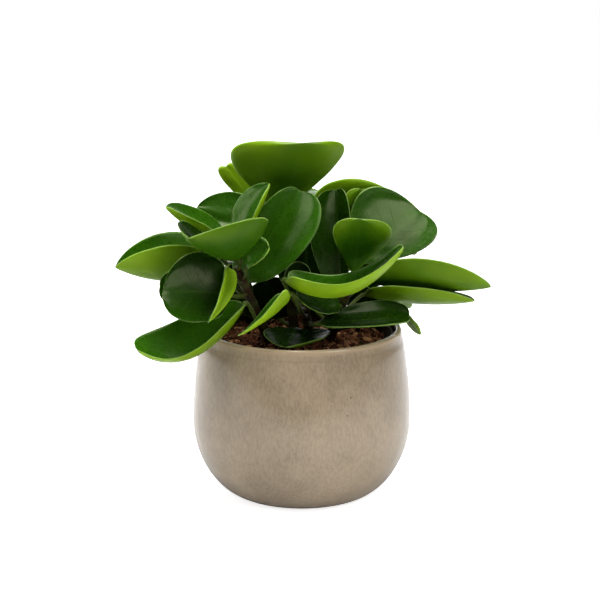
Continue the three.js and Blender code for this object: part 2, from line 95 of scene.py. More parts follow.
LEAVES = {
    "top_1": Leaf("tall", (-15, 8, 193), (2, -22, 245), (28, 2, 235), (-47, -8, 237),
        round=(1, 0.25), tone=0.28),
    "top_2": Leaf("tall", (-27, 22, 194), (-51, 12, 224), (-35, 26, 216), (-51, 10, 212),
        round=(0.35, 0.6), tone=0.8),
    "top_3": Leaf("tall", (-2, 27, 187), (14, 67, 198), (-12, 58, 202), (25, 42, 201), bow=(-1, -2, 5)),
    "top_4": Leaf("tall", (-18, 29, 186), (-40, 70, 197), (-46, 46, 196), (-17, 65, 204), bow=(1, -1, 5)),
    "right_1": Leaf("right", (26, -14, 148), (23, -10, 212), (5, -28, 187), (32, -30, 192),
        round=(0.5, 0.35), bow=(0, -7, 0), tone=0.14),
    "right_2": Leaf("back_right", (27, 0, 170), (40, 4, 210), (49, 8, 193), (24, 0, 197),
        round=(0.6, 0.5), tone=0.12),
    "right_3": Leaf("right", (34, -31, 161), (37, -62, 202), (58, -50, 190), (20, -54, 193),
        round=(1.1, 0.4), join=146, tone=0.1),
    "right_4": Leaf("right", (38, -15, 164), (80, 3, 195), (40, -7, 210), (86, -8, 174), bow=(0, -4, 0)),
    "right_5": Leaf("front", (-10, -46, 158), (65, -52, 181), (22, -42, 161), (24, -77, 162),
        round=(0.3, 0.45), bow=(0, -2, -26), cup=0.1, join=130, tone=0.95),
    "right_6": Leaf("right", (45, -8, 150), (126, -26, 149), (86, 10, 158), (79, -34, 170),
        round=(0.6, 0.7), bow=(0, 0, -6), tone=0.32),
    "right_7": Leaf("right", (44, -4, 139), (116, -20, 138), (81, 4, 143), (69, -30, 150),
        round=(0.6, 0.7), bow=(0, 0, -5), tone=0.45),
    "right_8": Leaf("right", (69, 4, 127), (82, 0, 110), (75, 12, 113), (76, -6, 121), round=(0.6, 0.5)),
    "right_9": Leaf("front", (12, -43, 128), (71, -36, 131), (50, -20, 138), (50, -54, 129),
        round=(0.62, 0.46), join=121, tone=0.08),
    "right_10": Leaf("right", (25, -29, 137), (-4, -35, 147), (13, -50, 137), (12, -22, 148),
        round=(0.62, 0.46), join=132, tone=0.15),
    "right_11": Leaf("back_right", (8, 30, 184), (58, 24, 207), (49, 32, 180), (19, 18, 212)),
    "left_1": Leaf("left", (-41, -20, 152), (-1, -21, 213), (-33, -27, 194), (5, -44, 182),
        round=(0.42, 0.42), bow=(0, -9, 0), tone=0.55),
    "left_2": Leaf("left", (-41, -37, 177), (-21, -29, 219), (-44, -21, 204), (-30, -46, 203),
        round=(0.6, 0.7), bow=(0, -1, 0), tone=1.0),
    "left_3": Leaf("left", (-43, -48, 173), (-72, -76, 192), (-24, -70, 204), (-77, -40, 196),
        round=(0.35, 0.95), bow=(0, 0, -5), tone=0.05),
    "left_4": Leaf("tall", (-28, 2, 190), (-71, 6, 197), (-57, -2, 184), (-44, 9, 207), round=(0.6, 0.6)),
    "left_5": Leaf("back_left", (-51, -16, 177), (-89, -34, 204), (-67, -34, 194), (-66, -4, 196),
        round=(0.37, 0.6), bow=(0, 0, -4), tone=0.6),
    "left_6": Leaf("back_left", (-58, -8, 155), (-123, -34, 164), (-81, -40, 180), (-87, 8, 180),
        round=(0.5, 0.75), bow=(0, 0, -9), tone=0.6),
    "left_7": Leaf("left", (-49, -49, 149), (-90, -62, 153), (-68, -80, 138), (-66, -45, 177),
        round=(0.4, 0.4), bow=(0, 0, 2), join=147, tone=0.14),
    "left_8": Leaf("left", (-50, -30, 156), (-93, -46, 154), (-78, -46, 142), (-76, -38, 166),
        round=(0.62, 0.46), join=143, tone=0.15),
    "left_9": Leaf("left", (-49, -46, 166), (-60, -80, 138), (-52, -78, 155), (-43, -57, 155),
        round=(0.6, 0.6), bow=(4, 0, 2), join=155, tone=1.0),
    "left_10": Leaf("left", (-38, -46, 142), (-106, -70, 117), (-74, -76, 116), (-91, -48, 128),
        round=(0.78, 0.42), bow=(3, 0, -25), fade=1.6, join=125, tone=0.7),
    "left_11": Leaf("left", (-36, -43, 168), (-21, -56, 182), (-31, -46, 186), (-29, -60, 173),
        round=(0.6, 0.4), join=157, tone=0.5),
    "inner_1": Leaf("tall", (4, 4, 136), (2, 8, 187), (-18, 2, 160), (25, 6, 156),
        round=(0.55, 0.5), bow=(0, 4, 0), tone=0.0),
    "inner_2": Leaf("back_right", (38, 10, 142), (58, 11, 163), (40, 14, 163), (59, 8, 146),
        round=(0.6, 0.5), tone=0.0),
    "inner_3": Leaf("left", (-34, -14, 136), (-57, -16, 151), (-56, -21, 140), (-42, -10, 160),
        round=(0.6, 0.5), tone=0.0),
    "inner_4": Leaf("tall", (-16, 17, 118), (-22, 10, 148), (-42, 3, 128), (2, 24, 132),
        round=(0.6, 0.45), tone=0.0),
    "inner_5": Leaf("back_right", (38, 8, 120), (41, 4, 144), (29, 8, 137), (52, 2, 132),
        join=119, tone=0.0),
    "front_1": Leaf("front", (-4, -19, 118), (-11, -54, 115), (19, -37, 120), (-25, -38, 122),
        round=(0.62, 0.46), join=114, tone=0.03),
    "front_2": Leaf("front", (-9, -59, 150), (-41, -70, 127), (-19, -73, 148), (-26, -62, 141),
        round=(0.6, 0.5), bow=(8, 0, 1), fade=2.2, join=126, tone=1.0),
    "front_3": Leaf("front", (-4, -13, 138), (-3, -20, 165), (-12, -24, 154), (7, -24, 154),
        round=(0.6, 0.5), join=132, tone=0.0),
    "back_1": Leaf("back_right", (36, 36, 168), (78, 62, 174), (50, 68, 183), (74, 36, 183),
        bow=(-1, -1, 5)),
    "back_2": Leaf("back_right", (22, 40, 168), (26, 94, 178), (4, 75, 186), (45, 72, 186), bow=(0, -1, 6)),
    "back_3": Leaf("back_right", (14, 36, 162), (-14, 88, 168), (-21, 60, 177), (14, 79, 177),
        bow=(0, -1, 6)),
    "back_4": Leaf("back_right", (32, 24, 158), (79, 42, 157), (60, 56, 168), (69, 16, 168), bow=(0, 0, 6)),
    "back_5": Leaf("back_right", (26, 34, 146), (58, 86, 140), (28, 81, 154), (67, 57, 154), bow=(0, 0, 6)),
    "back_6": Leaf("back_left", (-56, 20, 172), (-77, 54, 180), (-82, 28, 184), (-60, 54, 187),
        bow=(1, -1, 5)),
    "back_7": Leaf("back_left", (-46, 30, 166), (-48, 84, 176), (-67, 63, 183), (-27, 64, 183),
        bow=(0, -1, 6)),
    "back_8": Leaf("back_left", (-54, 18, 158), (-98, 44, 160), (-94, 16, 170), (-71, 54, 170),
        bow=(0, 0, 5)),
    "back_9": Leaf("back_left", (-47, 30, 150), (-64, 84, 144), (-79, 58, 158), (-36, 73, 158),
        bow=(0, 1, 7)),
    "back_10": Leaf("back_right", (10, 26, 122), (32, 84, 120), (-2, 70, 125), (50, 56, 125),
        bow=(0, 1, 7), tone=0.0),
    "back_11": Leaf("back_left", (-18, 28, 122), (-36, 86, 121), (-52, 58, 126), (-6, 74, 127),
        bow=(0, 1, 6), tone=0.0),
    "back_12": Leaf("back_right", (34, 20, 122), (76, 44, 118), (54, 54, 129), (68, 24, 129),
        bow=(0, 0, 6), tone=0.0),
    "back_13": Leaf("back_left", (-46, 6, 138), (-98, 16, 146), (-82, -7, 154), (-75, 32, 154),
        bow=(1, 0, 6)),
}

# A stalk leaves its stem this far below its leaf, and no lower on the stem than this, in millimetres.
PETIOLE_DROP = 9
LOWEST_JOINT = 113
# One swelling of a stem for about this many millimetres of height.
JOINT_SPACING = 14
# Step between the places in the noise that one leaf and the next take their ripples from.
RIPPLE_STEP = 3.7

# How finely the grown and turned surfaces are divided.
LEAF_ROWS = 84
LEAF_RING = 56
PETIOLE_ROWS = 20
STEM_ROWS = 56
STEM_RING = 20
STEM_SAMPLES = 100
POT_SIDES = 192
POT_ROWS = 72
INNER_ROWS = 40
SOIL_ROWS = 30
TAPER_ROWS = 8
# Points closer than this are made one.
WELD = 0.00001
# Powers that keep a leaf's thickness even nearly up to its margin, and a stem's up to its tip.
BLUNT_MARGIN = 24.0
BLUNT_TIP = 30.0


# ---- Node trees ----


class Field:
    """A value in a node tree. Arithmetic on it adds the nodes that work it out."""

    def __init__(self, tree, socket):
        self.tree = tree
        self.socket = socket

    def __add__(self, other):
        return arithmetic("ADD", self, other)

    def __radd__(self, other):
        return arithmetic("ADD", other, self)

    def __sub__(self, other):
        return arithmetic("SUBTRACT", self, other)

    def __rsub__(self, other):
        return arithmetic("SUBTRACT", other, self)

    def __mul__(self, other):
        return arithmetic("MULTIPLY", self, other)

    def __truediv__(self, other):
        return arithmetic("DIVIDE", self, other)

    def __pow__(self, other):
        return scalar("POWER", self, other)


def is_vector(value):
    if isinstance(value, Field):
        return value.socket.type in {"VECTOR", "RGBA"}
    return not isinstance(value, (int, float))


def put(tree, socket, value):
    """Links a field to a socket, or sets the socket's own value."""
    if isinstance(value, Field):
        tree.links.new(value.socket, socket)
    elif socket.type == "VECTOR" and isinstance(value, (int, float)):
        socket.default_value = (value, value, value)
    elif socket.type == "RGBA":
        socket.default_value = (*value[:3], 1.0)
    else:
        socket.default_value = value


def fill(tree, made, inputs):
    """Links or sets a node's inputs, by their names or places."""
    for key, value in inputs.items():
        put(tree, made.inputs[key], value)


def node(tree, kind, inputs=None, **options):
    """A new node with its options and inputs set."""
    made = tree.nodes.new(kind)
    for key, value in options.items():
        setattr(made, key, value)
    fill(tree, made, inputs or {})
    return made


def result(tree, kind, inputs=None, answer=0, **options):
    """One output of a new node."""
    return Field(tree, node(tree, kind, inputs, **options).outputs[answer])


def tree_of(values):
    return next(value.tree for value in values if isinstance(value, Field))


def scalar(operation, *values):
    return result(tree_of(values), "ShaderNodeMath", dict(enumerate(values)), operation=operation)


def vector(operation, *values):
    answer = "Value" if operation in {"DOT_PRODUCT", "LENGTH"} else "Vector"
    inputs = dict(enumerate(values))
    return result(tree_of(values), "ShaderNodeVectorMath", inputs, answer, operation=operation)


def scaled(direction, factor):
    inputs = {"Scale": factor, 0: direction}
    return result(tree_of((direction, factor)), "ShaderNodeVectorMath", inputs, operation="SCALE")


def arithmetic(operation, first, second):
    wide = (is_vector(first), is_vector(second))
    if not any(wide):
        return scalar(operation, first, second)
    if operation == "MULTIPLY" and not all(wide):
        return scaled(first, second) if wide[0] else scaled(second, first)
    return vector(operation, first, second)


def unit(direction):
    return vector("NORMALIZE", direction)


def cross(first, second):
    return vector("CROSS_PRODUCT", first, second)


def dot(first, second):
    return vector("DOT_PRODUCT", first, second)


def length(value):
    return vector("LENGTH", value)


def size(value):
    return scalar("ABSOLUTE", value)


def cosine(value):
    return scalar("COSINE", value)


def sine(value):
    return scalar("SINE", value)


def root(value):
    return scalar("SQRT", scalar("MAXIMUM", value, 0.0))


def ramp(value, low, high, kind="LINEAR"):
    """0 below low, 1 above high, and in between."""
    inputs = {"Value": value, "From Min": low, "From Max": high}
    return result(value.tree, "ShaderNodeMapRange", inputs, "Result", interpolation_type=kind)


def smooth(value, low, high):
    return ramp(value, low, high, "SMOOTHSTEP")


def is_colour(value):
    return value.socket.type == "RGBA" if isinstance(value, Field) else isinstance(value, Color)


def mixed(first, second, share):
    """first where share is 0, second where it is 1."""
    tree = tree_of((first, second, share))
    if is_colour(first) or is_colour(second):
        kind, start, answer = "RGBA", 6, 2
    elif is_vector(first) or is_vector(second):
        kind, start, answer = "VECTOR", 4, 1
    else:
        kind, start, answer = "FLOAT", 2, 0
    return result(tree, "ShaderNodeMix", {0: share, start: first, start + 1: second}, answer, data_type=kind)


def parts(value):
    made = node(value.tree, "ShaderNodeSeparateXYZ", {0: value})
    return [Field(value.tree, output) for output in made.outputs]


def joined(x, y, z):
    return result(tree_of((x, y, z)), "ShaderNodeCombineXYZ", {0: x, 1: y, 2: z})


def noise_at(place, scale, detail=2.0, answer=0):
    """Noise at a place: a number, or three that don't go together with answer 1."""
    inputs = {"Vector": place, "Scale": scale, "Detail": detail}
    return result(place.tree, "ShaderNodeTexNoise", inputs, answer)


def vectors(*labels):
    """Vector inputs for a new tree."""
    return [(label, "NodeSocketVector", (0.0, 0.0, 0.0)) for label in labels]


def numbers(defaults):
    """Number inputs for a new tree, each with its default."""
    return [(label, "NodeSocketFloat", default) for label, default in defaults.items()]


def new_tree(name, kind, inputs, outputs):
    """A node group with named inputs and outputs, and its inputs as fields."""
    tree = bpy.data.node_groups.new(name, kind)
    for label, socket, default in inputs:
        made = tree.interface.new_socket(label, in_out="INPUT", socket_type=socket)
        if default is not None:
            made.default_value = default
    for label, socket in outputs:
        tree.interface.new_socket(label, in_out="OUTPUT", socket_type=socket)
    source = tree.nodes.new("NodeGroupInput")
    given = {label: Field(tree, source.outputs[label]) for label, _, _ in inputs}
    return tree, given, tree.nodes.new("NodeGroupOutput")


def geometry_tree(name, inputs):
    """A tree that makes a shape and gives it the material it is handed."""
    inputs = inputs + [("Material", "NodeSocketMaterial", None)]
    return new_tree(name, "GeometryNodeTree", inputs, [("Geometry", "NodeSocketGeometry")])


def give(tree, output, geometry, material):
    """Ends a geometry tree: plain geometry with its material."""
    real = result(tree, "GeometryNodeRealizeInstances", {0: geometry})
    done = result(tree, "GeometryNodeSetMaterial", {"Geometry": real, "Material": material})
    put(tree, output.inputs[0], done)


def keep(tree, geometry, values, domain="POINT"):
    """Stores named values on the geometry for its material to read."""
    for name, value in values.items():
        inputs = {"Geometry": geometry, "Name": name, "Value": value}
        geometry = result(tree, "GeometryNodeStoreNamedAttribute", inputs, data_type="FLOAT", domain=domain)
    return geometry


def placed(name, data):
    """A new object in the scene."""
    piece = bpy.data.objects.new(name, data)
    bpy.context.scene.collection.objects.link(piece)
    return piece


def grown(name, tree, values, ground=None):
    """A plain mesh object: what the tree makes with these input values."""
    piece = placed(name, ground or bpy.data.meshes.new(name))
    modifier = piece.modifiers.new("Growth", "NODES")
    modifier.node_group = tree
    for item in tree.interface.items_tree:
        if item.in_out == "INPUT" and item.name in values:
            modifier[item.identifier] = values[item.name]
    graph = bpy.context.evaluated_depsgraph_get()
    mesh = bpy.data.meshes.new_from_object(
        piece.evaluated_get(graph), preserve_all_data_layers=True, depsgraph=graph
    )
    piece.modifiers.clear()
    piece.data = mesh
    mesh.name = name
    if not mesh.polygons:
        raise RuntimeError(f"{name} came out empty")
    return piece


def bezier(curve, share):
    first, second, third, fourth = curve
    rest = 1.0 - share
    return (
        first * (rest * rest * rest)
        + second * (rest * rest * share * 3.0)
        + third * (rest * share * share * 3.0)
        + fourth * (share * share * share)
    )


def bezier_slope(curve, share):
    first, second, third, fourth = curve
    rest = 1.0 - share
    return (
        (second - first) * (rest * rest)
        + (third - second) * (rest * share * 2.0)
        + (fourth - third) * (share * share)
    )


# ---- Leaves and stems ----


def stem_middle(name):
    """The control point that bends a stem through its middle point."""
    foot, middle, top = (Vector(point) for point in STEMS[name])
    return middle * 2 - (foot + top) / 2


def stem_place(name, height):
    """The point of a stem's centre line at a height, and the stem's direction there."""
    foot, _, top = (Vector(point) for point in STEMS[name])
    bend = stem_middle(name)

    def missed(s):
        return abs(foot.z * (1 - s) ** 2 + bend.z * 2 * s * (1 - s) + top.z * s * s - height)

    share = min((step / STEM_SAMPLES for step in range(STEM_SAMPLES + 1)), key=missed)
    point = foot * (1 - share) ** 2 + bend * 2 * share * (1 - share) + top * share**2
    along = (bend - foot) * (1 - share) + (top - bend) * share
    return point, along.normalized()


def petiole_curve(leaf):
    """Foot and both handles of the petiole's path, in millimetres. It leaves the stem at a right angle."""
    base, tip = Vector(leaf.base), Vector(leaf.tip)
    forward = ((tip - base) / 3 + Vector(leaf.bow)).normalized()
    top = STEMS[leaf.stem][2][2]
    height = leaf.join or max(LOWEST_JOINT, min(base.z - PETIOLE_DROP, top))
    joint, along = stem_place(leaf.stem, height)
    outward = base - joint
    outward = (outward - along * outward.dot(along)).normalized()
    reach = (base - joint).length
    return joint + outward, joint + outward * (1 + reach * 0.35), base - forward * (reach * 0.2)


# The leaf tree's number inputs and their defaults, with lengths in metres.
LEAF_NUMBERS = {
    "Round Base": 0.8,
    "Round Tip": 0.42,
    "Cup": 0.08,
    "Fold Fade": 0.0,
    "Fold Softness": 0.14,
    "Thickness": 0.0016,
    "Petiole Radius": 0.0015,
    "Ripple": 0.0006,
    "Ripple Seed": 0.0,
    "Tone": 0.5,
}


def skin_grid(tree, rows, ring):
    """A flat sheet to roll into a skin, each point's spot on it, and its row and turn, both from 0 to 1."""
    sizes = {"Size X": 1.0, "Size Y": 1.0, "Vertices X": rows + 1, "Vertices Y": ring + 1}
    sheet = result(tree, "GeometryNodeMeshGrid", sizes)
    spot = result(tree, "GeometryNodeInputPosition")
    row, turn, _ = parts(spot + (0.5, 0.5, 0.0))
    return sheet, spot, row, turn


def give_skin(tree, output, sheet, place, material):
    """Moves the sheet's points to their places, closes the skin and ends the tree."""
    moved = result(tree, "GeometryNodeSetPosition", {"Geometry": sheet, "Position": place})
    welded = result(tree, "GeometryNodeMergeByDistance", {0: moved, "Distance": WELD})
    give(tree, output, result(tree, "GeometryNodeSetShadeSmooth", {0: welded}), material)


def leaf_tree():
    """One leaf on its petiole as a single closed skin, from its points and the path of its stalk."""
    points = vectors("Base", "Tip", "Left", "Right", "Bow", "Foot", "Foot Handle", "Base Handle")
    tree, given, output = geometry_tree("Peperomia leaf", points + numbers(LEAF_NUMBERS))
    base, tip, left, right, bow = (given[key] for key in ("Base", "Tip", "Left", "Right", "Bow"))
    fuller, finer = given["Round Base"], given["Round Tip"]
    rib = (base, base + (tip - base) * (1 / 3) + bow, base + (tip - base) * (2 / 3) + bow, tip)
    stalk = (given["Foot"], given["Foot Handle"], given["Base Handle"], base)
    widest = fuller / (fuller + finer)
    to_left = left - bezier(rib, widest)
    to_right = right - bezier(rib, widest)

    grid, spot, row, turn = skin_grid(tree, LEAF_ROWS, LEAF_RING)
    # Each point's place up the stalk or along the blade, and across it. Rows crowd together at the
    # blade's ends, and points at its margins, by these shares.
    crowded_ends, crowded_margins = 0.75, 0.6
    part = PETIOLE_ROWS / LEAF_ROWS
    up_stalk = ramp(row, 1 / LEAF_ROWS, part)
    even = ramp(row, part, 1.0)
    on_blade = scalar("GREATER_THAN", row, part)
    along = mixed(even, 0.5 - cosine(even * math.pi) * 0.5, crowded_ends)
    angle = turn * (2 * math.pi)
    across = mixed(1.0 - size(turn * 4.0 - 2.0), cosine(angle) * -1.0, crowded_margins)
    edge = size(across)
    facing = scalar("SIGN", sine(angle)) * root(1.0 - edge**BLUNT_MARGIN)

    # The blade: its directions, its outline and its fold, with no thickness yet.
    forward = unit(bezier_slope(rib, along))
    upward = unit(cross(to_right - to_left, forward))
    left_normal, right_normal = unit(cross(forward, to_left)), unit(cross(to_right, forward))
    normal = unit(mixed(left_normal, right_normal, smooth(across, -0.35, 0.35)) + upward * 0.5)
    share = (along / widest) ** fuller * ((1.0 - along) / (1.0 - widest)) ** finer
    soft = given["Fold Softness"]
    folded = (root(across * across + soft * soft) - soft) / (root(soft * soft + 1.0) - soft)
    reach = mixed(length(to_left), length(to_right), smooth(across, -0.2, 0.2))
    sag = given["Cup"] * 4.0 * folded * (1.0 - folded) * reach
    kept_fold = 1.0 - given["Fold Fade"] * (along - widest)
    fold = (to_left + to_right) * (folded * 0.5) * kept_fold
    sheet = (to_right - to_left) * (across * 0.5) + fold - upward * sag

    # Low waves, strongest at the margins, the sunk line of the midrib, and the thickness.
    rib_depth, rib_ridge = 0.42, 0.2
    wave = noise_at(spot * (1.3, 0.0, 0.0) + joined(given["Ripple Seed"], across * 0.7, 0.0), 2.2) - 0.5
    lift = wave * given["Ripple"] * (edge * 2.4 + 0.6) * smooth(along, 0.05, 0.3)
    rib_line = (1.0 - smooth(edge, 0.0, 0.2)) * (1.0 - along) * smooth(along, 0.03, 0.25)
    lift = lift - rib_line * (rib_depth - facing * rib_ridge) * MM
    thick = facing * given["Thickness"] * 0.5 * smooth(along, 0.0, 0.12) * root(1.0 - along**BLUNT_MARGIN)

    # The stalk, a little flat, and wider where it leaves the stem and where it meets the blade.
    flat = 0.85
    stalk_way = unit(mixed(bezier_slope(stalk, up_stalk), forward, on_blade))
    sideways = right - left
    beside = unit(sideways - stalk_way * dot(sideways, stalk_way))
    above = cross(beside, stalk_way)
    flare = 1.0 + (1.0 - smooth(up_stalk, 0.0, 0.2)) * 0.25 + smooth(up_stalk, 0.7, 1.0) * 0.15
    ring = given["Petiole Radius"] * flare * (1.0 - smooth(along, 0.0, 0.3))
    ring = ring * scalar("GREATER_THAN", row, 0.5 / LEAF_ROWS)
    round_stalk = beside * (cosine(angle) * ring * -1.0) + above * (sine(angle) * ring * flat)

    centre = mixed(bezier(stalk, up_stalk), bezier(rib, along), on_blade)
    place = centre + sheet * share + normal * (lift + thick) + round_stalk
    rim = scalar("MINIMUM", (1.0 - edge) * share * reach, (1.0 - along) * length(tip - base))

    known = {"along": along + up_stalk - 1.0, "across": across, "facing": facing}
    known |= {"rim": mixed(0.01, rim, on_blade), "tone": given["Tone"]}
    give_skin(tree, output, keep(tree, grid, known), place, given["Material"])
    return tree


def stem_tree():
    """One stem: a tapered round stalk with swollen joints, closed at both ends."""
    inputs = numbers({"Foot Radius": 0.0036, "Top Radius": 0.0026, "Joints": 4.0, "Swelling": 0.16})
    tree, given, output = geometry_tree("Peperomia stem", vectors("Foot", "Bend", "Top") + inputs)
    grid, _, row, turn = skin_grid(tree, STEM_ROWS, STEM_RING)
    along = ramp(row, 1 / STEM_ROWS, 1.0 - 1 / STEM_ROWS)
    rest = 1.0 - along
    foot, bend, top = given["Foot"], given["Bend"], given["Top"]
    centre = foot * (rest * rest) + bend * (along * rest * 2.0) + top * (along * along)
    forward = unit((bend - foot) * rest + (top - bend) * along)
    beside = unit(cross(forward, (0.0, 1.0, 0.0)))
    narrowness = 6.0
    joint = (cosine(along * given["Joints"] * (2 * math.pi)) * 0.5 + 0.5) ** narrowness
    inside = scalar("GREATER_THAN", row, 0.5 / STEM_ROWS) * scalar("LESS_THAN", row, 1.0 - 0.5 / STEM_ROWS)
    radius = mixed(given["Foot Radius"], given["Top Radius"], along) * (1.0 + joint * given["Swelling"])
    radius = radius * inside * root(1.0 - along**BLUNT_TIP * 0.6)
    angle = turn * (2 * math.pi)
    place = centre + beside * (cosine(angle) * radius) + cross(forward, beside) * (sine(angle) * radius)
    give_skin(tree, output, keep(tree, grid, {"joint": joint}), place, given["Material"])
    return tree


# ---- Bark mix ----


def random_vector(tree, low, high, seed):
    inputs = {"Min": low, "Max": high, "Seed": seed}
    return result(tree, "FunctionNodeRandomValue", inputs, "Value", data_type="FLOAT_VECTOR")


def random_share(tree, seed):
    """A random number from 0 to 1, which are this node's own limits."""
    made = node(tree, "FunctionNodeRandomValue", {"Seed": seed}, data_type="FLOAT")
    return Field(tree, next(socket for socket in made.outputs if socket.type == "VALUE"))


def scatter_tree(name, count, long, wide, thick):
    """A tree with a ground, a count for each square metre, and the sizes of what lies on it in metres."""
    sizes = {"Count": count, "Length": long, "Width": wide, "Thickness": thick, "Roughness": 0.0008}
    return geometry_tree(name, [("Ground", "NodeSocketGeometry", None)] + numbers(sizes))


def scattered(tree, given, output, model, least, tilt, seed, roughen):
    """Lays copies of a model over the ground, each with its own size, turn and tone.

    least is the smallest size as shares of the largest, tilt is the most that a copy leans, in
    radians, and roughen is the scale of the unevenness of its surface.
    """
    spread = {"Mesh": given["Ground"], "Density": given["Count"], "Seed": seed}
    stretch = random_vector(tree, least, (1.0, 1.0, 1.0), seed + 1)
    inputs = {
        "Points": result(tree, "GeometryNodeDistributePointsOnFaces", spread, "Points"),
        "Instance": model,
        "Rotation": random_vector(tree, (-tilt, -tilt, 0.0), (tilt, tilt, 2 * math.pi), seed + 2),
        "Scale": stretch * joined(given["Length"], given["Width"], given["Thickness"]),
    }
    copies = result(tree, "GeometryNodeInstanceOnPoints", inputs)
    toned = keep(tree, copies, {"tone": random_share(tree, seed + 3)}, "INSTANCE")
    real = result(tree, "GeometryNodeRealizeInstances", {0: toned})
    spot = result(tree, "GeometryNodeInputPosition")
    shift = (noise_at(spot, roughen, 3.0, 1) - 0.5) * (given["Roughness"] * 2.0)
    moved = result(tree, "GeometryNodeSetPosition", {0: real, "Offset": shift})
    give(tree, output, moved, given["Material"])
    return tree


def bark_tree():
    """Loose splinters of bark that lie over the mix."""
    tree, given, output = scatter_tree("Bark chips", 90000.0, 0.004, 0.0018, 0.0011)
    ball = result(tree, "GeometryNodeMeshIcoSphere", {"Radius": 1.0, "Subdivisions": 2}, "Mesh")
    return scattered(tree, given, output, ball, (0.35, 0.4, 0.5), 0.7, 11, 420.0)


def fibre_tree():
    """Fine coir fibres, each a thin bent thread."""
    tree, given, output = scatter_tree("Coir fibres", 42000.0, 0.006, 0.006, 0.004)
    path = {"Resolution": 7, "Radius": 0.8, "Sweep Angle": 1.7}
    wire = {"Resolution": 4, "Radius": 0.034}
    inputs = {
        "Curve": result(tree, "GeometryNodeCurveArc", path, "Curve"),
        "Profile Curve": result(tree, "GeometryNodeCurvePrimitiveCircle", wire, "Curve"),
        "Fill Caps": True,
    }
    thread = result(tree, "GeometryNodeCurveToMesh", inputs, "Mesh")
    return scattered(tree, given, output, thread, (0.3, 0.3, 0.3), 0.9, 31, 160.0)


# ---- Turned pieces ----


def turned(name, outline, material, wobble=0.0):
    """A closed body turned about the upright axis from (radius, height) points, both ends on the axis.

    The wall wanders from a true circle by up to wobble, but not at the foot.
    """
    rings = outline[1:-1]
    points = [Vector((0.0, 0.0, outline[0][1]))]
    sides = POT_SIDES
    for radius, height in rings:
        for side in range(sides):
            angle = 2 * math.pi * side / sides
            way = Vector((math.cos(angle), math.sin(angle), 0.0))
            wave = noise.noise(way * 1.3 + Vector((0.0, 0.0, height * 22)))
            swell = wave * wobble * min(1.0, height / (20 * MM))
            points.append(way * (radius + swell) + Vector((0.0, 0.0, height)))
    points.append(Vector((0.0, 0.0, outline[-1][1])))
    faces = []
    last = 1 + (len(rings) - 1) * sides
    for side in range(sides):
        after = (side + 1) % sides
        faces.append((0, 1 + after, 1 + side))
        for ring in range(len(rings) - 1):
            low, high = 1 + ring * sides, 1 + (ring + 1) * sides
            faces.append((low + side, low + after, high + after, high + side))
        faces.append((last + side, last + after, len(points) - 1))
    mesh = bpy.data.meshes.new(name)
    mesh.from_pydata(points, [], faces)
    mesh.materials.append(material)
    mesh.shade_smooth()
    return placed(name, mesh)


def arc_points(centre, radius, start, stop, steps):
    """Points round part of a circle, angles in degrees from the outward direction."""
    angles = [math.radians(start + (stop - start) * step / steps) for step in range(steps + 1)]
    return [(centre[0] + radius * math.cos(a), centre[1] + radius * math.sin(a)) for a in angles]


# Powers that round the glazed pot below its belly, and draw it in above.
BELLY_CURVE = (1.85, 1.7)
SHOULDER_CURVE = 1.9
# How far the groove under the lip lies below the rim, and how wide it is.
GROOVE_DROP = 6.5 * MM
GROOVE_WIDTH = 2.2 * MM
# How far the mix rises to its middle, and how far its body lies below the loose bark.
DOME = 3 * MM
BED_DROP = 0.4 * MM


def pot_radius(sizes, height):
    """Outside radius of the glazed pot at a height."""
    if height < sizes.belly_height:
        share = 1 - height / sizes.belly_height
        swell = (1 - share ** BELLY_CURVE[0]) ** (1 / BELLY_CURVE[1])
        return sizes.foot_radius + (sizes.belly_radius - sizes.foot_radius) * swell
    share = (height - sizes.belly_height) / (sizes.height - sizes.belly_height)
    return sizes.belly_radius - (sizes.belly_radius - sizes.rim_radius) * share**SHOULDER_CURVE


def pot_outline(sizes):
    """Underside, outer wall, rounded lip, inner wall and floor."""
    half = sizes.wall / 2
    lip_height = sizes.height - half
    crowded_foot = 1.6
    outline = [(0.0, 0.0), (sizes.foot_radius * 0.6, 0.0), (sizes.foot_radius - 1.4 * MM, 0.0)]
    for step in range(1, POT_ROWS):
        height = lip_height * (step / POT_ROWS) ** crowded_foot
        neck = sizes.lip_groove * math.exp(-(((height - sizes.height + GROOVE_DROP) / GROOVE_WIDTH) ** 2))
        outline.append((pot_radius(sizes, height) - neck, height))
    outline += arc_points((sizes.rim_radius - half, lip_height), half, 0, 180, 14)
    for step in range(1, INNER_ROWS):
        height = lip_height - (lip_height - sizes.floor - 3 * MM) * step / INNER_ROWS
        outline.append((pot_radius(sizes, height) - sizes.wall, height))
    outline += [(pot_radius(sizes, sizes.floor) - sizes.wall - 4 * MM, sizes.floor), (20 * MM, sizes.floor)]
    return outline + [(0.0, sizes.floor)]


def grow_pot_outline(sizes):
    """Thin tapered wall with a rolled top edge."""
    low, high = GROW_BOX[0].z, GROW_BOX[1].z
    top, foot = GROW_BOX[1].x, sizes.foot_radius
    bead = sizes.wall * 0.5
    outline = [(0.0, low), (foot - 2 * MM, low), (foot, low + 1.5 * MM)]
    for step in range(1, TAPER_ROWS):
        height = low + (high - bead - low) * step / TAPER_ROWS
        outline.append((foot + (top - foot) * step / TAPER_ROWS, height))
    outline += arc_points((top - bead, high - bead), bead, 0, 180, 8)
    inner = low + sizes.wall
    for step in range(1, TAPER_ROWS):
        height = high - bead - (high - bead - inner) * step / TAPER_ROWS
        outline.append((foot + (top - foot) * (height - low) / (high - low) - sizes.wall, height))
    return outline + [(foot - sizes.wall - 2 * MM, inner), (0.0, inner)]


